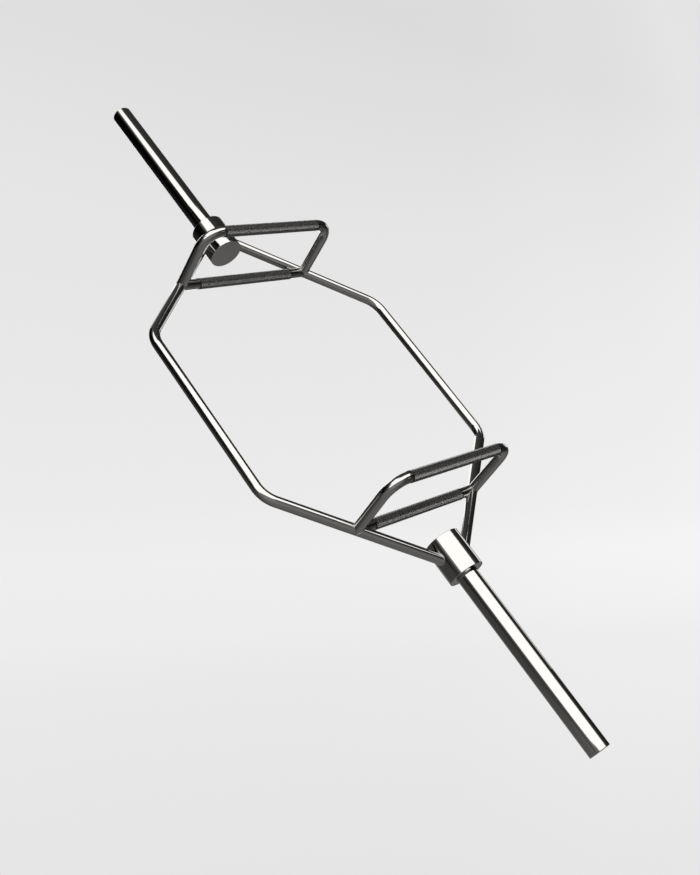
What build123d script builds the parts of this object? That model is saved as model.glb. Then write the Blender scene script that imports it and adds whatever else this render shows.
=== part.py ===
from build123d import *
from math import cos, radians, sin
import os

os.makedirs("parts", exist_ok=True)

# Driving dimensions in millimetres
# The sleeves lie along X. The lifter stands inside the frame and faces along Y.

# Frame of two bent round bars
bar_diameter = 25.0
frame_width = 720.0
frame_straight_length = 464.0
frame_apex_distance = 1068.0
frame_bend_radius = 60.0
weld_gap = 0.05
cope_reach = 50.0

# Handles: a low one in the plane of the frame and a raised one above it, on each side
handle_spacing = 740.0
raised_handle_height = 165.0
raised_bend_radius = 48.0
grip_diameter = 27.0
grip_length = 295.0
grip_chamfer = 0.5

# Hubs that join the frame to the spindles
hub_diameter = 85.0
hub_length = 94.0
hub_spacing = 920.0
hub_edge_chamfer = 1.0
hub_recess_diameter = 51.0
hub_recess_depth = 3.0
spindle_seat_depth = 58.0

# Spindles
spindle_diameter = 30.0
spindle_chamfer = 1.0
spindle_end_space = 1.0

# Loading sleeves
sleeve_diameter = 50.0
sleeve_loading_length = 450.0
sleeve_end_chamfer = 1.0
sleeve_shoulder_gap = 0.5
sleeve_spigot_diameter = 49.0
sleeve_bore_diameter = 36.0
sleeve_mouth_diameter = 40.0
sleeve_mouth_depth = 24.0

# Bearings and end play
bushing_length = 40.0
bushing_inset = 1.0
running_clearance = 0.05
thrust_washer_diameter = 44.0
thrust_washer_thickness = 1.5
end_play = 0.1

# Retention at the outer end of the spindle
stop_washer_diameter = 39.0
stop_washer_thickness = 2.0
washer_bore_clearance = 0.1
ring_thickness = 1.5
ring_groove_diameter = 28.6
ring_groove_width = 1.6
ring_outer_diameter = 34.4
ring_eccentricity = 0.6
ring_opening_angle = 24.0
ring_lug_angle = 19.0
ring_lug_circle_radius = 16.6
ring_lug_radius = 2.2
ring_lug_hole_diameter = 2.0
spindle_tail = 3.0

# End cap pressed into the mouth of the sleeve
end_cap_thickness = 8.0
end_cap_dish_diameter = 28.0
end_cap_dish_depth = 1.5
end_cap_dish_taper = 45
end_cap_chamfer = 0.8

# Places worked out from the dimensions above
axis_height = hub_diameter / 2
corner_x = frame_straight_length / 2
corner_y = frame_width / 2
apex_x = frame_apex_distance / 2
handle_x = handle_spacing / 2
handle_end_y = corner_y * (apex_x - handle_x) / (apex_x - corner_x)

hub_inner_x = hub_spacing / 2
hub_outer_x = hub_inner_x + hub_length
recess_floor_x = hub_outer_x - hub_recess_depth
sleeve_start_x = recess_floor_x + thrust_washer_thickness + end_play
sleeve_shoulder_x = hub_outer_x + sleeve_shoulder_gap
sleeve_end_x = sleeve_shoulder_x + sleeve_loading_length + sleeve_end_chamfer
mouth_floor_x = sleeve_end_x - sleeve_mouth_depth
inner_bushing_x = sleeve_start_x + bushing_inset
outer_bushing_x = mouth_floor_x - bushing_length
stop_washer_x = mouth_floor_x + end_play
ring_groove_x = stop_washer_x + stop_washer_thickness
spindle_start_x = recess_floor_x - spindle_seat_depth + spindle_end_space
spindle_end_x = ring_groove_x + ring_groove_width + spindle_tail

frame_plane = Plane.XY.offset(axis_height)
cross_section = Plane(origin=(0, 0, axis_height), x_dir=(0, 1, 0), z_dir=(1, 0, 0))
raised_handle_plane = cross_section.offset(handle_x)


def handle_section(height):
    """Middle section of a handle bar that lies along Y at this height above the sleeve axis."""
    return Plane(origin=(handle_x, 0, axis_height + height), x_dir=(1, 0, 0), z_dir=(0, 1, 0))


def diagonal_plane(side_y):
    """Section of a frame diagonal where the handles meet it, square to the diagonal."""
    along = (apex_x - corner_x, -side_y * corner_y, 0)
    return Plane(origin=(handle_x, side_y * handle_end_y, axis_height), z_dir=along)


def ring_point(radius, angle):
    """A point of the retaining ring's flat profile, with the angle measured from the opening."""
    return (radius * sin(radians(angle)), radius * cos(radians(angle)))


ring_lugs = [ring_point(ring_lug_circle_radius, side * ring_lug_angle) for side in (1, -1)]


# Frame bars: each runs from hub to hub through two bends, and its ends are coped to the hubs
frame_bars = {}
for frame_side, side_y in (("front", 1), ("back", -1)):
    with BuildPart() as frame_bar:
        with BuildLine(frame_plane):
            route = FilletPolyline(
                (-apex_x, 0),
                (-corner_x, side_y * corner_y),
                (corner_x, side_y * corner_y),
                (apex_x, 0),
                radius=frame_bend_radius,
            )
        with BuildSketch(Plane(origin=route @ 0, z_dir=route % 0)):
            Circle(bar_diameter / 2)
        sweep()
        for side_x in (1, -1):
            with BuildSketch(cross_section.offset(side_x * hub_inner_x)):
                Circle(hub_diameter / 2 + weld_gap)
            extrude(amount=side_x * hub_length, mode=Mode.SUBTRACT)
    frame_bars[frame_side] = frame_bar

# Low handle: a straight bar in the plane of the frame, coped to both diagonals
with BuildPart() as low_handle:
    with BuildSketch(handle_section(0)):
        Circle(bar_diameter / 2)
    extrude(amount=handle_end_y, both=True)
    for side_y in (1, -1):
        with BuildSketch(diagonal_plane(side_y)):
            Circle(bar_diameter / 2 + weld_gap)
        extrude(amount=cope_reach, both=True, mode=Mode.SUBTRACT)

# Raised handle: two upright legs and a level grip bar bent from one length.
# Its feet are saddles that sit on the diagonals and on the ends of the low handle.
with BuildPart() as raised_handle:
    with BuildLine(raised_handle_plane):
        raised_route = FilletPolyline(
            (-handle_end_y, 0),
            (-handle_end_y, raised_handle_height),
            (handle_end_y, raised_handle_height),
            (handle_end_y, 0),
            radius=raised_bend_radius,
        )
    with BuildSketch(Plane(origin=raised_route @ 0, z_dir=raised_route % 0)):
        Circle(bar_diameter / 2)
    sweep()
    for side_y in (1, -1):
        with BuildSketch(diagonal_plane(side_y)):
            Circle(bar_diameter / 2 + weld_gap)
        extrude(amount=cope_reach, both=True, mode=Mode.SUBTRACT)
    with BuildSketch(handle_section(0)):
        Circle(bar_diameter / 2 + weld_gap)
    extrude(amount=handle_end_y, both=True, mode=Mode.SUBTRACT)

# Grips: a tube over the straight of each handle bar, its ends chamfered down to the bar
grips = {}
for handle_level, grip_height in (("low", 0), ("raised", raised_handle_height)):
    with BuildPart() as grip:
        with BuildSketch(handle_section(grip_height)):
            Circle(grip_diameter / 2)
            Circle(bar_diameter / 2, mode=Mode.SUBTRACT)
        extrude(amount=grip_length / 2, both=True)
        grip_rims = grip.edges().filter_by(GeomType.CIRCLE).group_by(SortBy.RADIUS)[-1]
        chamfer(grip_rims, length=grip_chamfer)
    grips[handle_level] = grip

# Hub: closed towards the lifter, with a recess and a blind bore for the spindle on its outer face
with BuildPart() as hub:
    with BuildSketch(cross_section.offset(hub_inner_x)):
        Circle(hub_diameter / 2)
    extrude(amount=hub_length)
    chamfer(hub.edges().filter_by(GeomType.CIRCLE), length=hub_edge_chamfer)
    with BuildSketch(cross_section.offset(hub_outer_x)):
        Circle(hub_recess_diameter / 2)
    extrude(amount=-hub_recess_depth, mode=Mode.SUBTRACT)
    with BuildSketch(cross_section.offset(recess_floor_x)):
        Circle(spindle_diameter / 2)
    extrude(amount=-spindle_seat_depth, mode=Mode.SUBTRACT)

# Spindle: pressed into the hub, carries the sleeve, and is grooved for the retaining ring
with BuildPart() as spindle:
    with BuildSketch(cross_section.offset(spindle_start_x)):
        Circle(spindle_diameter / 2)
    extrude(amount=spindle_end_x - spindle_start_x)
    chamfer(spindle.edges().filter_by(GeomType.CIRCLE), length=spindle_chamfer)
    with BuildSketch(cross_section.offset(ring_groove_x)):
        Circle(spindle_diameter / 2)
        Circle(ring_groove_diameter / 2, mode=Mode.SUBTRACT)
    extrude(amount=ring_groove_width, mode=Mode.SUBTRACT)

# Thrust washer: lies in the hub's recess and takes the sleeve's end load
with BuildPart() as thrust_washer:
    with BuildSketch(cross_section.offset(recess_floor_x)):
        Circle(thrust_washer_diameter / 2)
        Circle(spindle_diameter / 2 + washer_bore_clearance, mode=Mode.SUBTRACT)
    extrude(amount=thrust_washer_thickness)

# Sleeve: a turned tube whose reduced spigot enters the hub's recess and whose mouth is counterbored
with BuildPart() as sleeve:
    with BuildSketch(cross_section.offset(sleeve_start_x)):
        Circle(sleeve_spigot_diameter / 2)
    extrude(amount=sleeve_shoulder_x - sleeve_start_x)
    with BuildSketch(cross_section.offset(sleeve_shoulder_x)):
        Circle(sleeve_diameter / 2)
    extrude(amount=sleeve_end_x - sleeve_shoulder_x)
    chamfer(sleeve.edges().filter_by(GeomType.CIRCLE).sort_by(Axis.X)[-1], length=sleeve_end_chamfer)
    with BuildSketch(cross_section.offset(sleeve_start_x)):
        Circle(sleeve_bore_diameter / 2)
    extrude(amount=sleeve_end_x - sleeve_start_x, mode=Mode.SUBTRACT)
    with BuildSketch(cross_section.offset(mouth_floor_x)):
        Circle(sleeve_mouth_diameter / 2)
    extrude(amount=sleeve_mouth_depth, mode=Mode.SUBTRACT)

# Bronze bushings: pressed into both ends of the sleeve's bore, and they turn on the spindle
bushings = {}
for bushing_place, bushing_x in (("inner", inner_bushing_x), ("outer", outer_bushing_x)):
    with BuildPart() as bushing:
        with BuildSketch(cross_section.offset(bushing_x)):
            Circle(sleeve_bore_diameter / 2)
            Circle(spindle_diameter / 2 + running_clearance, mode=Mode.SUBTRACT)
        extrude(amount=bushing_length)
    bushings[bushing_place] = bushing

# Stop washer: keeps the sleeve on the spindle, held by the retaining ring
with BuildPart() as stop_washer:
    with BuildSketch(cross_section.offset(stop_washer_x)):
        Circle(stop_washer_diameter / 2)
        Circle(spindle_diameter / 2 + washer_bore_clearance, mode=Mode.SUBTRACT)
    extrude(amount=stop_washer_thickness)

# Retaining ring: eccentric spring ring, thinnest at its opening, with a pierced lug on each side of it
with BuildPart() as retaining_ring:
    with BuildSketch(cross_section.offset(ring_groove_x)):
        with Locations((0, -ring_eccentricity)):
            Circle(ring_outer_diameter / 2)
        with Locations(*ring_lugs):
            Circle(ring_lug_radius)
        Circle(ring_groove_diameter / 2, mode=Mode.SUBTRACT)
        with BuildLine():
            Polyline(
                (0, 0),
                ring_point(ring_outer_diameter, ring_opening_angle / 2),
                ring_point(ring_outer_diameter, -ring_opening_angle / 2),
                close=True,
            )
        make_face(mode=Mode.SUBTRACT)
        with Locations(*ring_lugs):
            Circle(ring_lug_hole_diameter / 2, mode=Mode.SUBTRACT)
    extrude(amount=ring_thickness)

# End cap: a dished disc pressed flush into the sleeve's mouth
with BuildPart() as end_cap:
    with BuildSketch(cross_section.offset(sleeve_end_x)):
        Circle(sleeve_mouth_diameter / 2)
    extrude(amount=-end_cap_thickness)
    chamfer(end_cap.edges().filter_by(GeomType.CIRCLE).sort_by(Axis.X)[-1], length=end_cap_chamfer)
    with BuildSketch(cross_section.offset(sleeve_end_x)):
        Circle(end_cap_dish_diameter / 2)
    extrude(amount=-end_cap_dish_depth, taper=end_cap_dish_taper, mode=Mode.SUBTRACT)

# The frame bars are written as they stand
for frame_side, frame_bar in frame_bars.items():
    frame_bar.part.label = f"{frame_side}_frame_bar"
    export_step(frame_bar.part, f"parts/{frame_side}_frame_bar.step")

# The other pieces are written for the right-hand side, and mirrored for the left-hand side
right_hand_pieces = {
    "hub": hub,
    "low_handle": low_handle,
    "low_grip": grips["low"],
    "raised_handle": raised_handle,
    "raised_grip": grips["raised"],
    "spindle": spindle,
    "thrust_washer": thrust_washer,
    "sleeve": sleeve,
    "inner_bushing": bushings["inner"],
    "outer_bushing": bushings["outer"],
    "stop_washer": stop_washer,
    "retaining_ring": retaining_ring,
    "end_cap": end_cap,
}
for piece_name, right_piece in right_hand_pieces.items():
    right_piece.part.label = f"right_{piece_name}"
    export_step(right_piece.part, f"parts/right_{piece_name}.step")
    with BuildPart() as left_piece:
        mirror(right_piece.part, about=Plane.YZ)
    left_piece.part.label = f"left_{piece_name}"
    export_step(left_piece.part, f"parts/left_{piece_name}.step")
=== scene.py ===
from math import atan2, cos, hypot, pi, radians, sin, sqrt, tan
import bmesh
import bpy
from mathutils import Matrix, Vector


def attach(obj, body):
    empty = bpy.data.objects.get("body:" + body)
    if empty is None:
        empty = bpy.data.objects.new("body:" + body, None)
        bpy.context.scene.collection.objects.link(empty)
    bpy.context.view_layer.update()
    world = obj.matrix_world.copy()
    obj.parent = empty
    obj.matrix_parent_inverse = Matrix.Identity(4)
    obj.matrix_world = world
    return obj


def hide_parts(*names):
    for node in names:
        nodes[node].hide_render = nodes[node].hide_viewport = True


# Hex trap bar. Metres, the same frame as the CAD: sleeves along X, the lifter faces +Y.
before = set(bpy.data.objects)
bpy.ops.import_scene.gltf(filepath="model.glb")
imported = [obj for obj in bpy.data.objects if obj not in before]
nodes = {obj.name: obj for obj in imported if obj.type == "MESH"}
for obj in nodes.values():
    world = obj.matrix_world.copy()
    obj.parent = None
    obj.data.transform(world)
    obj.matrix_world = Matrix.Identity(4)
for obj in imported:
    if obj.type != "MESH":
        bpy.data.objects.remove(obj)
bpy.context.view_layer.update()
print("frame loaded:", len(nodes), "nodes")


# Helpers

def hexColour(text):
    # sRGB hex to the linear values that the shaders take
    channels = [int(text[i:i + 2], 16) / 255 for i in (0, 2, 4)]
    return [c / 12.92 if c <= 0.04045 else ((c + 0.055) / 1.055) ** 2.4 for c in channels] + [1.0]


def addNode(tree, kind, settings=None, links=None):
    # settings: the node's own attributes, or values of its inputs; links: the output socket that each input takes
    node = tree.nodes.new(kind)
    for key, value in (settings or {}).items():
        if isinstance(key, str) and hasattr(node, key) and key not in node.inputs:
            setattr(node, key, value)
        else:
            node.inputs[key].default_value = value
    for key, socket in (links or {}).items():
        tree.links.new(socket, node.inputs[key])
    return node


def addFedNode(tree, kind, settings, terms):
    # Each term is a value of an input, or the output socket that gives it
    links = {key: term for key, term in terms.items() if isinstance(term, bpy.types.NodeSocket)}
    values = {key: term for key, term in terms.items() if key not in links}
    return addNode(tree, kind, {**settings, **values}, links)


def addMath(tree, operation, *terms):
    return addFedNode(tree, "ShaderNodeMath", {"operation": operation}, dict(enumerate(terms))).outputs[0]


def addColourMix(tree, share, first, second, blend="MIX"):
    mix = addFedNode(tree, "ShaderNodeMix", {"data_type": "RGBA", "blend_type": blend},
                     {0: share, 6: first, 7: second})
    return mix.outputs[2]


def addRange(tree, value, start, end, low=0.0, high=1.0, smooth=False):
    # low up to start, high from end on
    settings = {"interpolation_type": "SMOOTHSTEP" if smooth else "LINEAR", 1: start, 2: end, 3: low, 4: high}
    return addNode(tree, "ShaderNodeMapRange", settings, {0: value}).outputs[0]


def addObject(name, data):
    obj = bpy.data.objects.new(name, data)
    bpy.context.scene.collection.objects.link(obj)
    return obj


# Camera: fitted to the bar's straight edges in the photo
view = {
    "eye": (1.0512, -1.7433, 1.5901),
    "aim": (0.1475, -0.0387, 0.0425),
    "roll": 34.97,
    "focal": 1084.5,  # in pixels of the photo
    "photoHeight": 875,
    "sensor": 36.0,
    "farthest": 100.0,
}

cameraData = bpy.data.cameras.new("camera")
cameraData.sensor_width = view["sensor"]
cameraData.lens = view["focal"] / view["photoHeight"] * view["sensor"]
cameraData.clip_end = view["farthest"]
camera = addObject("camera", cameraData)
eye = Vector(view["eye"])
looking = (Vector(view["aim"]) - eye).to_track_quat("-Z", "Y").to_matrix()
camera.matrix_world = Matrix.Translation(eye) @ (looking @ Matrix.Rotation(radians(view["roll"]), 3, "Z")).to_4x4()
bpy.context.scene.camera = camera
print("camera placed")


# Studio: a pale floor well below the bar, softboxes far overhead, and a dim room and dark cards that the chrome mirrors
studio = {
    "floorHeight": -1.2,
    "floorSize": 60.0,
    "paperRoughness": 0.9,
    "paperGlow": 0.85,  # how much of the seen paper's tone is its own and not the lamps' light
    "bandSlant": -0.29,
    "fadeFrom": 9.0,
    "fadeTo": 24.0,
    "cardHeight": -1.17,
    "softboxHeight": 20.0,
    "softboxLevel": 2.05,  # the brightness of the softboxes' faces, where 1 renders white
    "clothGap": 0.2,
    "worldFill": "808080",
    "worldLevel": 1.0,
    "horizonColour": "DEDEDE",
    "roomFrom": 9.0,  # degrees above the horizon where the room's low tones start to give way, and where they have gone
    "roomTo": 24.5,
}
# Softboxes by how far they reach sideways for each metre of height: lowest and highest x, lowest and highest y
softboxes = {
    "mainSoftbox": (-0.64, 0.21, -2.2, 0.6),
    "leftSoftbox": (-2.1, -0.64, -1.5, -0.12),
}
# The outline of their joined faces, by the same slopes, as the chrome shows it
softboxFace = ((-0.64, 0.88), (-0.42, 0.74), (-0.1, 0.63), (0.1, 0.58), (0.14, 0.33), (0.27, -0.1), (0.14, -1.2),
               (0.15, -1.75), (0.08, -2.1), (-0.35, -2.2), (-0.9, -2.2), (-0.81, -1.85), (-0.75, -1.5), (-0.84, -1.05),
               (-1.11, -1.4), (-1.25, -1.64), (-1.6, -1.47), (-2.0, -1.05), (-2.1, -0.3), (-1.1, -0.16), (-0.66, -0.02))
# Dim cloths beside them, by the same slopes: lowest and highest x, lowest and highest y, and their greys along Y
cloths = {
    "haloCloth": (-0.6, 0.15, 0.3, 1.4, ((0.3, "7C7C7C"), (0.8, "707070"), (1.0, "464646"), (1.4, "2A2A2A"))),
    "blackCloth": (0.15, 0.6, 0.3, 1.3, ((0.3, "101010"), (1.3, "0A0A0A"))),
    "smallCloth": (0.62, 0.95, 0.42, 0.78, ((0.42, "B0B0B0"), (0.78, "B0B0B0"))),
}
# Greys of the dim room by compass direction in degrees from +X towards +Y, low down and higher up
lowTones = ((-180, "505050"), (-168, "363636"), (-150, "1C1C1C"), (-130, "121212"), (-118, "2A2A2A"), (-105, "404040"),
            (-90, "525252"), (-78, "828282"), (-55, "888888"), (-20, "7A7A7A"), (12, "606060"), (32, "585858"),
            (60, "383838"), (80, "262626"), (98, "2C2C2C"), (130, "3A3A3A"), (160, "585858"), (180, "505050"))
highTones = ((-180, "505050"), (-170, "989898"), (-150, "989898"), (-129, "909090"), (-127, "0C0C0C"),
             (-115, "0C0C0C"), (-113, "A0A0A0"), (-105, "C0C0C0"), (-97, "A0A0A0"), (-90, "868686"), (-82, "8C8C8C"),
             (-60, "9C9C9C"), (-22, "909090"), (-5, "7C7C7C"), (12, "565656"), (45, "323232"), (65, "282828"),
             (95, "2C2C2C"), (130, "383838"), (180, "505050"))
# Greys of the paper in metres across the soft bands of painted light on it, and those of painted shade that dim it
# where X + Y is low
paperLightBands = ((-8.0, "E8E8E8"), (-5.0, "E8E8E8"), (-3.6, "EDEDED"), (-2.4, "F2F2F2"), (-1.2, "F6F6F6"),
              (-0.6, "F9F9F9"), (-0.36, "FDFDFD"), (-0.1, "FBFBFB"), (0.1, "F7F7F7"), (0.4, "F5F5F5"),
              (1.0, "F0F0F0"), (2.0, "F0F0F0"))
paperSideShade = ((-0.8, "F2F2F2"), (0.7, "F3F3F3"), (1.5, "F4F4F4"), (2.3, "F7F7F7"), (3.0, "F8F8F8"), (3.8, "FBFBFB"),
             (4.6, "FFFFFF"))
# Greys of the cards under the bar, by place in metres along X or Y
floorTones = ((-3.2, "050505"), (-2.2, "0B0B0B"), (-1.5, "262626"), (-1.0, "454545"), (0.6, "555555"), (1.2, "747474"),
              (2.4, "7C7C7C"))
farFloorTones = ((0.0, "858585"), (1.5, "767676"), (3.0, "5E5E5E"), (7.0, "2C2C2C"))
# Those cards: lowest and highest x, lowest and highest y, the axis that the greys follow, the greys and the brightness
floorCards = {
    "nearFloorCard": (-30.0, 30.0, -30.0, 0.0, "X", floorTones, 1.0),
    "leftFloorCard": (-2.6, -0.4, 0.0, 0.72, "X", floorTones, 1.0),
    "farFloorCard": (-0.4, 30.0, 0.0, 30.0, "Y", farFloorTones, 1.0),
    "leftHorizonCard": (-30.0, -4.2, 0.0, 30.0, "X", ((-30.0, "505050"), (-4.2, "505050")), 1.0),
    "whiteFloorCard": (-4.2, -0.4, 0.72, 1.5, "X", ((-4.2, "FFFFFF"), (-0.4, "FFFFFF")), 1.8),
    "backFloorCard": (-4.2, -1.1, 2.4, 8.0, "X", ((-4.2, "505050"), (-1.1, "303030")), 1.0),
    "middleFloorCard": (-4.2, -0.4, 1.5, 2.4, "X", ((-4.2, "505050"), (-0.4, "404040")), 1.0),
}
# A bright strip that stands on the cards' level behind the bar and dims towards its top
backStrip = {"left": -4.2, "right": -0.3, "away": 12.0, "whiteTo": 0.8, "top": 1.7, "level": 1.4}


def addPlane(name, corners, material):
    mesh = bpy.data.meshes.new(name)
    mesh.from_pydata(corners, [], [tuple(range(len(corners)))])
    mesh.materials.append(material)
    obj = addObject(name, mesh)
    return obj


def levelCorners(x0, x1, y0, y1, height):
    return [(x0, y0, height), (x1, y0, height), (x1, y1, height), (x0, y1, height)]


def newMaterial(name):
    material = bpy.data.materials.new(name)
    material.use_nodes = True
    return material, material.node_tree


def seenRay(tree):
    # 1 where the camera, a mirror or glass looks, 0 for the light that falls on things
    path = addNode(tree, "ShaderNodeLightPath")
    mirrored = addMath(tree, "MAXIMUM", path.outputs["Is Camera Ray"], path.outputs["Is Glossy Ray"])
    return addMath(tree, "MAXIMUM", mirrored, path.outputs["Is Transmission Ray"])


def addRamp(tree, value, stops):
    # A ramp of greys through the stops, each at its own value
    low, high = stops[0][0], stops[-1][0]
    ramp = addNode(tree, "ShaderNodeValToRGB", None, {0: addRange(tree, value, low, high)})
    elements = ramp.color_ramp.elements
    while len(elements) < len(stops):
        elements.new(0.5)
    for element, (place, colour) in zip(elements, stops):
        element.position = (place - low) / (high - low)
        element.color = hexColour(colour)
    return ramp.outputs[0]


# Matt studio paper with a band of painted light where the lamps pool: dull, with no gloss at all
paper, tree = newMaterial("palePaper")
shader = tree.nodes["Principled BSDF"]
shader.inputs["Roughness"].default_value = studio["paperRoughness"]
shader.inputs["Specular IOR Level"].default_value = 0.0
coords = addNode(tree, "ShaderNodeTexCoord").outputs["Object"]
axes = addNode(tree, "ShaderNodeSeparateXYZ", None, {0: coords})
across = addMath(tree, "MULTIPLY_ADD", axes.outputs["Y"], studio["bandSlant"], axes.outputs["X"])
sideways = addMath(tree, "ADD", axes.outputs["X"], axes.outputs["Y"])
# The paper's tone: painted bands of light, multiplied by painted shade where X + Y is low
paintedPool = addColourMix(tree, 1.0, addRamp(tree, across, paperLightBands), addRamp(tree, sideways, paperSideShade), "MULTIPLY")
# Far away the paper fades into the tone of the horizon, so that no line shows where it ends
distance = addNode(tree, "ShaderNodeVectorMath", {"operation": "LENGTH"}, {0: coords}).outputs["Value"]
fade = addRange(tree, distance, studio["fadeFrom"], studio["fadeTo"], smooth=True)
tone = addColourMix(tree, fade, paintedPool, hexColour(studio["horizonColour"]))
tree.links.new(tone, shader.inputs["Base Color"])
glow = addNode(tree, "ShaderNodeEmission", None, {"Color": tone})
share = addMath(tree, "MULTIPLY", seenRay(tree), addRange(tree, fade, 0.0, 1.0, studio["paperGlow"], 1.0))
paperMix = addNode(tree, "ShaderNodeMixShader", None, {0: share, 1: shader.outputs[0], 2: glow.outputs[0]})
tree.links.new(paperMix.outputs[0], tree.nodes["Material Output"].inputs["Surface"])

half = studio["floorSize"] / 2
addPlane("floor", levelCorners(-half, half, -half, half, studio["floorHeight"]), paper)


def addCard(name, corners, axis, stops, level=1.0):
    # A card that only mirrors see: it lights nothing and stands in no view
    material, tree = newMaterial(name)
    coords = addNode(tree, "ShaderNodeTexCoord")
    axes = addNode(tree, "ShaderNodeSeparateXYZ", None, {0: coords.outputs["Object"]})
    face = addNode(tree, "ShaderNodeEmission", {1: level}, {0: addRamp(tree, axes.outputs[axis], stops)})
    tree.links.new(face.outputs[0], tree.nodes["Material Output"].inputs["Surface"])
    card = addPlane(name, corners, material)
    card.visible_camera = card.visible_diffuse = card.visible_shadow = False


cardHeight = studio["cardHeight"]
for name, (x0, x1, y0, y1, axis, greys, level) in floorCards.items():
    addCard(name, levelCorners(x0, x1, y0, y1, cardHeight), axis, greys, level)

left, right, away, top = backStrip["left"], backStrip["right"], backStrip["away"], backStrip["top"]
addCard("backStripCard", [(left, away, cardHeight), (right, away, cardHeight), (right, away, top), (left, away, top)],
        "Z", ((cardHeight, "FFFFFF"), (backStrip["whiteTo"], "FFFFFF"), (top, "505050")), backStrip["level"])

boxHeight = studio["softboxHeight"]
for name, reach in softboxes.items():
    x0, x1, y0, y1 = [boxHeight * slope for slope in reach]
    light = bpy.data.lights.new(name, "AREA")
    light.shape = "RECTANGLE"
    light.size = x1 - x0
    light.size_y = y1 - y0
    light.energy = studio["softboxLevel"] * light.size * light.size_y * pi
    lamp = addObject(name, light)
    lamp.location = ((x0 + x1) / 2, (y0 + y1) / 2, boxHeight)
    lamp.visible_camera = lamp.visible_glossy = False
addCard("softboxFace", [(boxHeight * x, boxHeight * y, boxHeight) for x, y in softboxFace], "Z",
        ((0.0, "FFFFFF"), (boxHeight, "FFFFFF")), studio["softboxLevel"])
clothHeight = boxHeight + studio["clothGap"]
for name, (*reach, greys) in cloths.items():
    addCard(name, levelCorners(*[clothHeight * slope for slope in reach], clothHeight), "Y",
            [(clothHeight * y, grey) for y, grey in greys])

world = bpy.data.worlds.new("studioWorld")
bpy.context.scene.world = world
world.use_nodes = True
tree = world.node_tree
direction = addNode(tree, "ShaderNodeTexCoord")
axes = addNode(tree, "ShaderNodeSeparateXYZ", None, {0: direction.outputs["Generated"]})
compass = addMath(tree, "DEGREES", addMath(tree, "ARCTAN2", axes.outputs["Y"], axes.outputs["X"]))
roomFrom, roomTo = sin(radians(studio["roomFrom"])), sin(radians(studio["roomTo"]))
climb = addRange(tree, axes.outputs["Z"], roomFrom, roomTo, smooth=True)
room = addColourMix(tree, climb, addRamp(tree, compass, lowTones), addRamp(tree, compass, highTones))
lighting = addColourMix(tree, seenRay(tree), hexColour(studio["worldFill"]), room)
path = addNode(tree, "ShaderNodeLightPath")
horizon = addColourMix(tree, path.outputs["Is Camera Ray"], lighting, hexColour(studio["horizonColour"]))
background = tree.nodes["Background"]
tree.links.new(horizon, background.inputs["Color"])
background.inputs["Strength"].default_value = studio["worldLevel"]
print("studio lit")

bpy.context.scene.view_settings.view_transform = "Standard"


# Finishes. Detail is drawn on "straight", each bar's own coordinates as if it were pulled straight: along, across, up
finishDetail = {
    "lineDetail": 3.0,
    "lineRoughness": 0.6,
    "smudgeScale": 28.0,
    "smudgeDetail": 4.0,
    "smudgeRoughness": 0.55,
    "noiseFrom": 0.6,
    "noiseTo": 1.4,
    "waveScale": 45.0,
    "waveDetail": 1.0,
    "grooveShadeFrom": 0.02,  # shares of a groove's depth between which the painted shade in the grooves ends
    "grooveShadeTo": 0.3,
}


def metalFinish(name, colour, roughness, marks, markDepth, smudge, wave=0.0, tint=0.04, inside=False, groove=None):
    # marks: how fast the polishing marks change along and round the piece, per metre; groove: the colour of the painted
    # shade in the grooves
    material, tree = newMaterial(name)
    shader = tree.nodes["Principled BSDF"]
    shader.inputs["Metallic"].default_value = 1.0
    if inside:
        where = addNode(tree, "ShaderNodeTexCoord").outputs["Object"]
    else:
        where = addNode(tree, "ShaderNodeAttribute", {"attribute_name": "straight"}).outputs["Vector"]
    stretched = addNode(tree, "ShaderNodeMapping", {"Scale": (marks[0], marks[1], marks[1])}, {"Vector": where})
    lines = addNode(tree, "ShaderNodeTexNoise", {
        "Scale": 1.0, "Detail": finishDetail["lineDetail"], "Roughness": finishDetail["lineRoughness"]},
        {"Vector": stretched.outputs[0]}).outputs["Fac"]
    clouds = addNode(tree, "ShaderNodeTexNoise", {
        "Scale": finishDetail["smudgeScale"], "Detail": finishDetail["smudgeDetail"],
        "Roughness": finishDetail["smudgeRoughness"]}, {"Vector": where}).outputs["Fac"]
    bright = hexColour(colour)
    dark = [c * (1 - tint) for c in bright[:3]] + [1.0]
    shade = addColourMix(tree, clouds, dark, bright)
    if groove:
        # Painted shade in the grooves: "rise" is 0 in the grooves and 1 on the flats
        rise = addNode(tree, "ShaderNodeAttribute", {"attribute_name": "rise"}).outputs["Fac"]
        unshaded = addRange(tree, rise, finishDetail["grooveShadeFrom"], finishDetail["grooveShadeTo"], smooth=True)
        shade = addColourMix(tree, unshaded, hexColour(groove), shade)
    tree.links.new(shade, shader.inputs["Base Color"])
    rough = addRange(tree, addMath(tree, "ADD", lines, clouds), finishDetail["noiseFrom"], finishDetail["noiseTo"],
                     roughness - smudge, roughness + smudge)
    tree.links.new(rough, shader.inputs["Roughness"])
    bump = addNode(tree, "ShaderNodeBump", {"Strength": 1.0, "Distance": markDepth}, {"Height": lines})
    if wave:
        ripples = addNode(tree, "ShaderNodeTexNoise", {
            "Scale": finishDetail["waveScale"], "Detail": finishDetail["waveDetail"]}, {"Vector": where})
        bump = addNode(tree, "ShaderNodeBump", {"Strength": 1.0, "Distance": wave},
                       {"Height": ripples.outputs["Fac"], "Normal": bump.outputs[0]})
    tree.links.new(bump.outputs[0], shader.inputs["Normal"])
    return material


# Bright chrome plate over a belt-polished round bar: lines run round the bar
barChrome = metalFinish("barChrome", "BCBAB7", 0.07, marks=(1400, 60), markDepth=1.0e-6, smudge=0.02, wave=1.2e-5)
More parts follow.
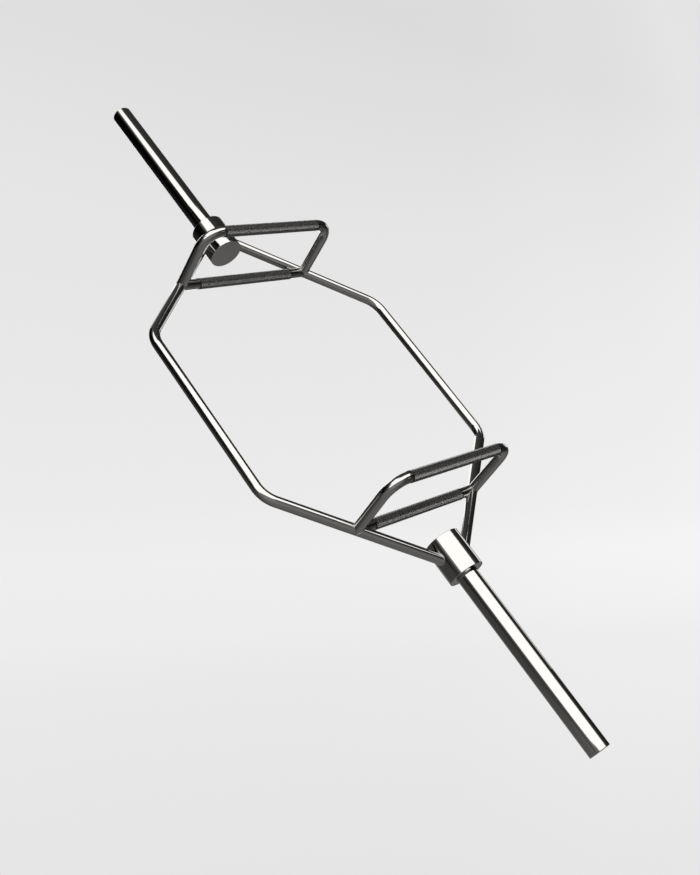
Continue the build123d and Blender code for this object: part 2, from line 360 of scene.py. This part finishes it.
# Hard chrome on a turned and ground tube: finer, nearly a mirror
sleeveChrome = metalFinish("sleeveChrome", "BCBAB7", 0.045, marks=(1800, 40), markDepth=5.0e-7, smudge=0.012)
hubChrome = metalFinish("hubChrome", "BCBAB7", 0.05, marks=(1500, 50), markDepth=6.0e-7, smudge=0.015)
# Thin chrome over cut diamonds: bright facets, and painted shade that darkens the grooves
knurledChrome = metalFinish("knurledChrome", "989795", 0.25, marks=(900, 900), markDepth=2.0e-6, smudge=0.05,
                            groove="3E3B38")
# Bare ground steel of the spindles: a soft grey sheen
groundSteel = metalFinish("groundSteel", "8C8B88", 0.2, marks=(2500, 50), markDepth=1.5e-6, smudge=0.05, inside=True)
# Bearing bronze, oiled: warm, dull and uneven in tone
bearingBronze = metalFinish("bearingBronze", "A57A3F", 0.35, marks=(1200, 60), markDepth=3.0e-6, smudge=0.08,
                            tint=0.2, inside=True)
# Oil-blackened steel of the stop washers and retaining rings: nearly black, with a dull shine
springSteel = metalFinish("springSteel", "3A3A3C", 0.42, marks=(500, 500), markDepth=3.0e-6, smudge=0.08,
                          tint=0.25, inside=True)
print("finishes made")


# Pieces
def ringsToMesh(rings, looped=False):
    # rings: lists of points of equal length, or of one point at a pole
    points, starts, faces = [], [], []
    for ring in rings:
        starts.append(len(points))
        points += ring
    pairs = list(zip(range(len(rings)), range(1, len(rings))))
    if looped:
        pairs.append((len(rings) - 1, 0))
    for one, two in pairs:
        a, b, m, n = starts[one], starts[two], len(rings[one]), len(rings[two])
        for i in range(max(m, n)):
            j = (i + 1) % max(m, n)
            if m == 1:
                faces.append((a, b + i, b + j))
            elif n == 1:
                faces.append((a + i, b, a + j))
            else:
                faces.append((a + i, b + i, b + j, a + j))
    return points, faces


def smoothMesh(mesh, straight, sharpAngle=None):
    # Writes each point's straight coordinates and shades the mesh smooth, all but edges over the angle in degrees
    data = mesh.attributes.new("straight", "FLOAT_VECTOR", "POINT").data
    data.foreach_set("vector", [c for v in straight for c in v])
    mesh.shade_smooth()
    if sharpAngle:
        mesh.set_sharp_from_angle(angle=radians(sharpAngle))


def placePiece(name, mesh, replaced=None, body="frame"):
    obj = addObject(name, mesh)
    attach(obj, body)
    if replaced:
        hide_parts(replaced)


def addPiece(name, shape, material, replaced, body="frame"):
    # shape: points, faces and straight coordinates
    points, faces, straight = shape
    mesh = bpy.data.meshes.new(name)
    mesh.from_pydata(points, [], faces)
    shell = bmesh.new()
    shell.from_mesh(mesh)
    bmesh.ops.recalc_face_normals(shell, faces=shell.faces)
    shell.to_mesh(mesh)
    shell.free()
    smoothMesh(mesh, straight, sharpEdge)
    mesh.materials.append(material)
    placePiece(name, mesh, replaced, body)


axisHeight = 0.0425
sharpEdge = 25  # degrees between two faces that keep the edge between them crisp
hands = ((1, "right"), (-1, "left"))
bar = {
    "radius": 0.0125,
    "gap": 0.00005,  # left between a coped end and the bar or hub that it meets
    "sides": 96,
    "bendStep": 1.5,
    "cornerX": 0.232,
    "cornerY": 0.36,
    "apexX": 0.534,
    "bend": 0.06,
    "endRings": (0.0, 0.25, 0.5, 0.75, 1.0),  # rings of an end face, as shares of the radius
    "pastCope": 0.0008,
}


def bendRoute(route, bendRadius):
    # Stations along the route: centre, direction and length run so far
    stations, run = [], 0.0
    here = route[0]
    for before, corner, after in zip(route, route[1:], route[2:]):
        into, out = (corner - before).normalized(), (after - corner).normalized()
        turn = into.angle(out)
        reach = bendRadius * tan(turn / 2)
        start = corner - into * reach
        run += (start - here).length
        centre = start + (out - into * into.dot(out)).normalized() * bendRadius
        axis = into.cross(out).normalized()
        steps = max(2, round(turn / radians(bar["bendStep"])))
        for k in range(steps + 1):
            spin = Matrix.Rotation(turn * k / steps, 3, axis)
            stations.append((centre + spin @ (start - centre), spin @ into, run + bendRadius * turn * k / steps))
        run += bendRadius * turn
        here = corner + out * reach
    return stations, run + (route[-1] - here).length


def sweepBar(route, bendRadius, startTrim, endTrim, flat):
    # flat: the direction square to the route's plane; trims: how far in from each end the surface starts, per offset
    radius, sides, endRings = bar["radius"], bar["sides"], bar["endRings"]
    inner, total = bendRoute(route, bendRadius) if len(route) > 2 else ([], (route[1] - route[0]).length)
    rings, straight = [], []

    def offsetAt(direction, turn, share):
        across = flat.cross(direction)
        return (across * cos(turn) + flat * sin(turn)) * radius * share

    def addRing(centre, direction, run, share=1.0, trim=None, sign=1):
        ring = []
        for i in range(sides if share else 1):
            turn = 2 * pi * i / sides
            offset = offsetAt(direction, turn, share)
            shift = sign * trim(offset) if trim else 0.0
            ring.append(centre + offset + direction * shift)
            straight.append((run + shift, radius * share * cos(turn), radius * share * sin(turn)))
        rings.append(ring)

    def coped(direction, trim):
        # How far in from the end the whole round of the bar is there
        return max(trim(offsetAt(direction, 2 * pi * i / sides, 1)) for i in range(sides)) + bar["pastCope"]

    first, last = (route[1] - route[0]).normalized(), (route[-1] - route[-2]).normalized()
    startReach, endReach = coped(first, startTrim), coped(last, endTrim)
    for share in endRings:
        addRing(route[0], first, 0.0, share, startTrim)
    addRing(route[0] + first * startReach, first, startReach)
    for centre, direction, run in inner:
        addRing(centre, direction, run)
    addRing(route[-1] - last * endReach, last, total - endReach)
    for share in reversed(endRings):
        addRing(route[-1], last, total, share, endTrim, -1)
    return (*ringsToMesh(rings), straight), rings[len(endRings) - 1], rings[-len(endRings)]


weldPaths = {"hub": [], "low": [], "raised": []}
flatUp, flatAside = Vector((0, 0, 1)), Vector((1, 0, 0))
hub = {
    "radius": 0.0425,
    "inner": 0.46,
    "length": 0.094,
    "edge": 0.001,
    "recess": 0.0255,
    "recessDepth": 0.003,
    "recessEdge": 0.0003,
    "bore": 0.015,
    "boreDepth": 0.058,
    "sides": 192,
}


# Frame bars: from hub to hub through two bends, the ends coped to the hubs
def hubTrim(along):
    def trim(offset):
        side = 1 if along.y > 0 else -1
        surfaceY = side * sqrt((hub["radius"] + bar["gap"]) ** 2 - offset.z ** 2)
        return (surfaceY - offset.y) / along.y
    return trim


for side, name in ((1, "front_frame_bar"), (-1, "back_frame_bar")):
    route = [Vector((x, y, axisHeight)) for x, y in (
        (-bar["apexX"], 0), (-bar["cornerX"], side * bar["cornerY"]),
        (bar["cornerX"], side * bar["cornerY"]), (bar["apexX"], 0))]
    out = (route[1] - route[0]).normalized()
    back = (route[2] - route[3]).normalized()
    shape, startRim, endRim = sweepBar(route, bar["bend"], hubTrim(out), hubTrim(back), flatUp)
    addPiece(name.replace("_bar", "_bar_bent"), shape, barChrome, name)
    weldPaths["hub"] += [startRim, endRim]

# Handles: the low bar is coped to the diagonals, the raised bar stands on them and on the low bar's ends
handle = {
    "x": 0.37,
    "rise": 0.165,
    "bend": 0.048,
}
handle["endY"] = bar["cornerY"] * (bar["apexX"] - handle["x"]) / (bar["apexX"] - bar["cornerX"])
slant = Vector((bar["apexX"] - bar["cornerX"], bar["cornerY"], 0)).normalized()
mateRadius = bar["radius"] + bar["gap"]


def lowTrim(side):
    # How far the diagonal's surface stands in from the crossing of the two bars' middle lines
    def trim(offset):
        depth = sqrt(max(mateRadius ** 2 - offset.z ** 2, 0))
        return (depth + side * offset.x * slant.y) / slant.x
    return trim


def footTrim(side, end):
    # How high the diagonal, or the low bar's end where that is higher, stands over their middle lines
    def trim(offset):
        acrossDiagonal = side * offset.x * slant.y + end * offset.y * slant.x
        height = sqrt(max(mateRadius ** 2 - acrossDiagonal ** 2, 0))
        if end * offset.y <= 0:
            height = max(height, sqrt(max(mateRadius ** 2 - offset.x ** 2, 0)))
        return height
    return trim


for side, hand in hands:
    x, endY, top = side * handle["x"], handle["endY"], axisHeight + handle["rise"]
    foot, farFoot = Vector((x, -endY, axisHeight)), Vector((x, endY, axisHeight))
    shape, startRim, endRim = sweepBar([foot, farFoot], 0, lowTrim(side), lowTrim(side), flatUp)
    addPiece(hand + "_low_handle_bar", shape, barChrome, hand + "_low_handle")
    weldPaths["low"] += [startRim, endRim]
    route = [foot, Vector((x, -endY, top)), Vector((x, endY, top)), farFoot]
    shape, startRim, endRim = sweepBar(route, handle["bend"], footTrim(side, -1), footTrim(side, 1), flatAside)
    addPiece(hand + "_raised_handle_bar", shape, barChrome, hand + "_raised_handle")
    weldPaths["raised"] += [startRim, endRim]
print("bars bent")


# Turned pieces: profiles of (along X, radius) turned about the sleeve axis
cornerSteps = 6


def roundedProfile(corners, radii):
    # Rounds each corner of a profile by its radius, 0 for a sharp one
    profile = []
    for k, ((px, pr), radius) in enumerate(zip(corners, radii)):
        if not radius:
            profile.append((px, pr))
            continue
        corner = Vector((px, pr))
        into = (corner - Vector(corners[k - 1])).normalized()
        out = (Vector(corners[(k + 1) % len(corners)]) - corner).normalized()
        start, end = corner - into * radius, corner + out * radius
        for step in range(cornerSteps + 1):
            # nearly a quarter round: the quadratic curve between the corner's two tangent points
            share = step / cornerSteps
            point = start * (1 - share) ** 2 + corner * 2 * share * (1 - share) + end * share ** 2
            profile.append((point.x, point.y))
    return profile


def turnProfile(profile, side, sides, looped=False):
    rings, straight = [], []
    run = 0.0
    for k, (px, pr) in enumerate(profile):
        if k:
            run += hypot(px - profile[k - 1][0], pr - profile[k - 1][1])
        ring = []
        for i in range(sides if pr > 0 else 1):
            turn = 2 * pi * i / sides
            ring.append(Vector((side * px, pr * cos(turn), axisHeight + pr * sin(turn))))
            straight.append((run, pr * cos(turn), pr * sin(turn)))
        rings.append(ring)
    return (*ringsToMesh(rings, looped), straight)


outer = hub["inner"] + hub["length"]
recessX = outer - hub["recessDepth"]
boreEnd = recessX - hub["boreDepth"]
hubCorners = [(hub["inner"], 0), (hub["inner"], hub["radius"]), (outer, hub["radius"]), (outer, hub["recess"]),
              (recessX, hub["recess"]), (recessX, hub["bore"]), (boreEnd, hub["bore"]), (boreEnd, 0)]
hubProfile = roundedProfile(hubCorners, (0, hub["edge"], hub["edge"], hub["recessEdge"], 0, hub["recessEdge"], 0, 0))

sleeve = {
    "start": 0.5526,
    "shoulder": 0.5545,
    "end": 1.0055,
    "radius": 0.025,
    "spigot": 0.0245,
    "bore": 0.018,
    "mouth": 0.02,
    "mouthDepth": 0.024,
    "edge": 0.001,
    "shoulderEdge": 0.0002,
    "mouthEdge": 0.0003,
    "sides": 160,
}
mouthX = sleeve["end"] - sleeve["mouthDepth"]
sleeveCorners = [(sleeve["start"], sleeve["spigot"]), (sleeve["shoulder"], sleeve["spigot"]),
                 (sleeve["shoulder"], sleeve["radius"]), (sleeve["end"], sleeve["radius"]),
                 (sleeve["end"], sleeve["mouth"]), (mouthX, sleeve["mouth"]), (mouthX, sleeve["bore"]),
                 (sleeve["start"], sleeve["bore"])]
sleeveProfile = roundedProfile(sleeveCorners, (0, 0, sleeve["shoulderEdge"], sleeve["edge"], sleeve["mouthEdge"],
                                               0, 0, 0))

cap = {
    "radius": 0.02,
    "thick": 0.008,
    "edge": 0.0008,
    "backEdge": 0.0003,
    "dish": 0.014,
    "dishDepth": 0.0015,
    "dishEdge": 0.0004,
    "sides": 128,
}
capBack, dishX = sleeve["end"] - cap["thick"], sleeve["end"] - cap["dishDepth"]
capCorners = [(capBack, 0), (capBack, cap["radius"]), (sleeve["end"], cap["radius"]), (sleeve["end"], cap["dish"]),
              (dishX, cap["dish"] - cap["dishDepth"]), (dishX, 0)]
capProfile = roundedProfile(capCorners, (0, cap["backEdge"], cap["edge"], cap["dishEdge"], cap["dishEdge"], 0))

for side, hand in hands:
    addPiece(hand + "_hub_turned", turnProfile(hubProfile, side, hub["sides"]), hubChrome, hand + "_hub")
    addPiece(hand + "_sleeve_turned", turnProfile(sleeveProfile, side, sleeve["sides"], True), sleeveChrome,
             hand + "_sleeve", hand + "_sleeve")
    addPiece(hand + "_end_cap_turned", turnProfile(capProfile, side, cap["sides"]), sleeveChrome,
             hand + "_end_cap", hand + "_sleeve")
print("hubs and sleeves turned")


# Node groups for what repeats
def newGeometryTree(name, inputs):
    tree = bpy.data.node_groups.new(name, "GeometryNodeTree")
    tree.interface.new_socket("Geometry", in_out="INPUT", socket_type="NodeSocketGeometry")
    tree.interface.new_socket("Geometry", in_out="OUTPUT", socket_type="NodeSocketGeometry")
    for label, kind in inputs.items():
        tree.interface.new_socket(label, in_out="INPUT", socket_type="NodeSocket" + kind)
    return tree, tree.nodes.new("NodeGroupInput"), tree.nodes.new("NodeGroupOutput")


def runTree(tree, obj, values):
    # Evaluates the tree on the object and returns the finished mesh
    modifier = obj.modifiers.new("build", "NODES")
    modifier.node_group = tree
    for item in tree.interface.items_tree:
        if item.in_out == "INPUT" and item.name in values:
            modifier[item.identifier] = values[item.name]
    obj.update_tag()
    bpy.context.view_layer.update()
    graph = bpy.context.evaluated_depsgraph_get()
    mesh = bpy.data.meshes.new_from_object(obj.evaluated_get(graph), depsgraph=graph)
    obj.modifiers.remove(modifier)
    return mesh


# Knurled grips: diamonds cut by two crossing sets of grooves, each at the angle to the bar
grip = {
    "length": 0.295,
    "outer": 0.0135,
    "bore": 0.01252,
    "valley": 0.01305,
    "rise": 0.00044,
    "around": 64,
    "angle": 30,
    "flat": 0.35,  # the share of a diamond's width that is left flat on top
    "joinWithin": 2.0e-5,  # corners of neighbouring diamonds closer than this become one
    "band": 0.0025,
    "bandStep": 0.0002,
    "stepEdge": 0.0001,
    "edge": 0.0005,
    "sharpEdge": 20,
}
halfTurn = pi / grip["around"]
knurledLength = grip["length"] - 2 * grip["band"]
diamondWide = grip["valley"] * sin(halfTurn)
rowCount = round(knurledLength / (diamondWide / tan(radians(grip["angle"])))) - 1
rowStep = knurledLength / (rowCount + 1)

# One diamond: four corners in the grooves and a small flat left on top
drop = grip["valley"] * (1 - cos(halfTurn))
topWide, topLong = diamondWide * grip["flat"], rowStep * grip["flat"]
diamondPoints = [(diamondWide, 0, -drop), (0, rowStep, 0), (-diamondWide, 0, -drop), (0, -rowStep, 0),
                 (topWide, 0, grip["rise"]), (0, topLong, grip["rise"]),
                 (-topWide, 0, grip["rise"]), (0, -topLong, grip["rise"])]
diamondFaces = [(0, 1, 5, 4), (1, 2, 6, 5), (2, 3, 7, 6), (3, 0, 4, 7), (4, 5, 6, 7)]
diamondMesh = bpy.data.meshes.new("knurlDiamond")
diamondMesh.from_pydata(diamondPoints, [], diamondFaces)
rise = diamondMesh.attributes.new("rise", "FLOAT", "POINT")
rise.data.foreach_set("value", [0.0] * 4 + [1.0] * 4)

# Every other row stands half a step round, so the diamonds interlock
knurlTree, given, made = newGeometryTree("knurl", {
    "Diamond": "Object", "Around": "Int", "Rows": "Int", "Row Step": "Float", "Valley Radius": "Float",
    "Finish": "Material"})
around, rows, valley = given.outputs["Around"], given.outputs["Rows"], given.outputs["Valley Radius"]
index = addNode(knurlTree, "GeometryNodeInputIndex").outputs[0]
row = addMath(knurlTree, "FLOOR", addMath(knurlTree, "DIVIDE", index, around))
shifted = addMath(knurlTree, "MULTIPLY_ADD", addMath(knurlTree, "MODULO", row, 2.0), 0.5, index)
turn = addMath(knurlTree, "MULTIPLY", shifted, addMath(knurlTree, "DIVIDE", 2 * pi, around))
along = addMath(knurlTree, "ADD", row, addMath(knurlTree, "MULTIPLY_ADD", rows, -0.5, 0.5))
spot = addNode(knurlTree, "ShaderNodeCombineXYZ", None, {
    0: addMath(knurlTree, "MULTIPLY", addMath(knurlTree, "SINE", turn), valley),
    1: addMath(knurlTree, "MULTIPLY", along, given.outputs["Row Step"]),
    2: addMath(knurlTree, "MULTIPLY", addMath(knurlTree, "COSINE", turn), valley)})
tilt = addNode(knurlTree, "ShaderNodeCombineXYZ", None, {1: turn})
spots = addNode(knurlTree, "GeometryNodePoints", None,
                {"Count": addMath(knurlTree, "MULTIPLY", around, rows), "Position": spot.outputs[0]})
source = addNode(knurlTree, "GeometryNodeObjectInfo", None, {"Object": given.outputs["Diamond"]})
copies = addNode(knurlTree, "GeometryNodeInstanceOnPoints", None,
                 {"Points": spots.outputs[0], "Instance": source.outputs["Geometry"], "Rotation": tilt.outputs[0]})
real = addNode(knurlTree, "GeometryNodeRealizeInstances", None, {"Geometry": copies.outputs[0]})
joined = addNode(knurlTree, "GeometryNodeMergeByDistance", {"Distance": grip["joinWithin"]},
                 {"Geometry": real.outputs[0]})
coated = addNode(knurlTree, "GeometryNodeSetMaterial", None,
                 {"Geometry": joined.outputs[0], "Material": given.outputs["Finish"]})
knurlTree.links.new(coated.outputs[0], made.inputs[0])

knurlSeed = addObject("knurlSeed", bpy.data.meshes.new("knurlSeed"))
diamond = addObject("knurlDiamond", diamondMesh)
knurlMesh = runTree(knurlTree, knurlSeed, {
    "Diamond": diamond, "Around": grip["around"], "Rows": rowCount, "Row Step": rowStep,
    "Valley Radius": grip["valley"], "Finish": knurledChrome})
bpy.data.objects.remove(knurlSeed)
bpy.data.objects.remove(diamond)


def gripShape():
    # Closes the knurled skin with a plain band at each end and the bore between them
    skin = bmesh.new()
    skin.from_mesh(knurlMesh)
    endY, bandY = grip["length"] / 2, knurledLength / 2 + grip["bandStep"]
    sides = 2 * grip["around"]
    edgeLoop = {}
    for vert in skin.verts:
        if any(edge.is_boundary for edge in vert.link_edges):
            step = round(atan2(vert.co.x, vert.co.z) / halfTurn) % sides
            edgeLoop[(1 if vert.co.y > 0 else -1, step)] = vert
    profile = [(bandY, grip["valley"]), (bandY, grip["outer"] - grip["stepEdge"]),
               (bandY + grip["stepEdge"], grip["outer"]), (endY - grip["edge"], grip["outer"]),
               (endY, grip["outer"] - grip["edge"]), (endY, grip["bore"])]
    rings = []
    for end, places in ((1, profile), (-1, profile[::-1])):
        for y, radius in places:
            rings.append([skin.verts.new((radius * sin(halfTurn * i), end * y, radius * cos(halfTurn * i)))
                          for i in range(sides)])
    loops = [[edgeLoop[(1, i)] for i in range(sides)]] + rings + [[edgeLoop[(-1, i)] for i in range(sides)]]
    for one, two in zip(loops, loops[1:]):
        for i in range(sides):
            j = (i + 1) % sides
            skin.faces.new((one[i], two[i], two[j], one[j]))
    bmesh.ops.recalc_face_normals(skin, faces=skin.faces)
    mesh = bpy.data.meshes.new("grip")
    skin.to_mesh(mesh)
    skin.free()
    return mesh


gripMesh = gripShape()
gripStraight = [(v.co.y, v.co.x, v.co.z) for v in gripMesh.vertices]
print("grip has", len(gripMesh.polygons), "faces")
for side, hand in hands:
    for level, height in (("low", 0.0), ("raised", handle["rise"])):
        mesh = gripMesh.copy()
        mesh.transform(Matrix.Translation((side * handle["x"], 0, axisHeight + height)))
        smoothMesh(mesh, gripStraight, grip["sharpEdge"])
        mesh.materials.clear()
        mesh.materials.append(knurledChrome)
        gripName = hand + "_" + level + "_grip"
        placePiece(gripName + "_knurled", mesh, gripName)
print("grips knurled")

# Weld beads: a small rippled bead laid along each coped end
weld = {
    "radius": 0.0009,
    "ripple": 0.0001,
    "pitch": 0.0013,
    "uneven": 0.5,  # the share of a ripple that comes by chance
    "spacing": 0.0004,
    "sides": 12,
    "seed": 7,
}
weldTree, given, made = newGeometryTree("weldBead", {
    "Bead Radius": "Float", "Ripple": "Float", "Ripple Pitch": "Float", "Spacing": "Float", "Sides": "Int",
    "Seed": "Int", "Finish": "Material"})
line = addNode(weldTree, "GeometryNodeMeshToCurve", None, {"Mesh": given.outputs["Geometry"]})
even = addNode(weldTree, "GeometryNodeResampleCurve", {"mode": "LENGTH"},
               {"Curve": line.outputs[0], "Length": given.outputs["Spacing"]})
run = addNode(weldTree, "GeometryNodeSplineParameter").outputs["Length"]
phase = addMath(weldTree, "MULTIPLY", addMath(weldTree, "DIVIDE", run, given.outputs["Ripple Pitch"]), 2 * pi)
chance = addNode(weldTree, "FunctionNodeRandomValue", {2: -weld["uneven"], 3: weld["uneven"]},
                 {"Seed": given.outputs["Seed"]})
rough = addMath(weldTree, "ADD", addMath(weldTree, "SINE", phase), chance.outputs[1])
size = addMath(weldTree, "MULTIPLY_ADD", rough, given.outputs["Ripple"], given.outputs["Bead Radius"])
circle = addNode(weldTree, "GeometryNodeCurvePrimitiveCircle", {"Radius": 1.0}, {"Resolution": given.outputs["Sides"]})
bead = addNode(weldTree, "GeometryNodeCurveToMesh", None,
               {"Curve": even.outputs[0], "Profile Curve": circle.outputs[0], "Scale": size})
solid = addNode(weldTree, "GeometryNodeRealizeInstances", None, {"Geometry": bead.outputs[0]})
plated = addNode(weldTree, "GeometryNodeSetMaterial", None,
                 {"Geometry": solid.outputs[0], "Material": given.outputs["Finish"]})
weldTree.links.new(plated.outputs[0], made.inputs[0])

for joint, rims in weldPaths.items():
    points, edges = [], []
    for rim in rims:
        start = len(points)
        points += rim
        edges += [(start + i, start + (i + 1) % len(rim)) for i in range(len(rim))]
    pathMesh = bpy.data.meshes.new("weldPath")
    pathMesh.from_pydata(points, edges, [])
    weldPath = addObject("weldPath", pathMesh)
    mesh = runTree(weldTree, weldPath, {
        "Bead Radius": weld["radius"], "Ripple": weld["ripple"], "Ripple Pitch": weld["pitch"],
        "Spacing": weld["spacing"], "Sides": weld["sides"], "Seed": weld["seed"], "Finish": barChrome})
    bpy.data.objects.remove(weldPath)
    smoothMesh(mesh, [tuple(v.co) for v in mesh.vertices])
    placePiece(joint + "_weld_beads", mesh)
    print(joint + "_weld_beads", len(mesh.polygons))
print("welds laid")

insideFinishes = {
    "spindle": groundSteel,
    "thrust_washer": bearingBronze,
    "inner_bushing": bearingBronze,
    "outer_bushing": bearingBronze,
    "stop_washer": springSteel,
    "retaining_ring": springSteel,
}
for side, hand in hands:
    for name, finish in insideFinishes.items():
        for materialSlot in nodes[hand + "_" + name].material_slots:
            materialSlot.material = finish
print("inside pieces finished")
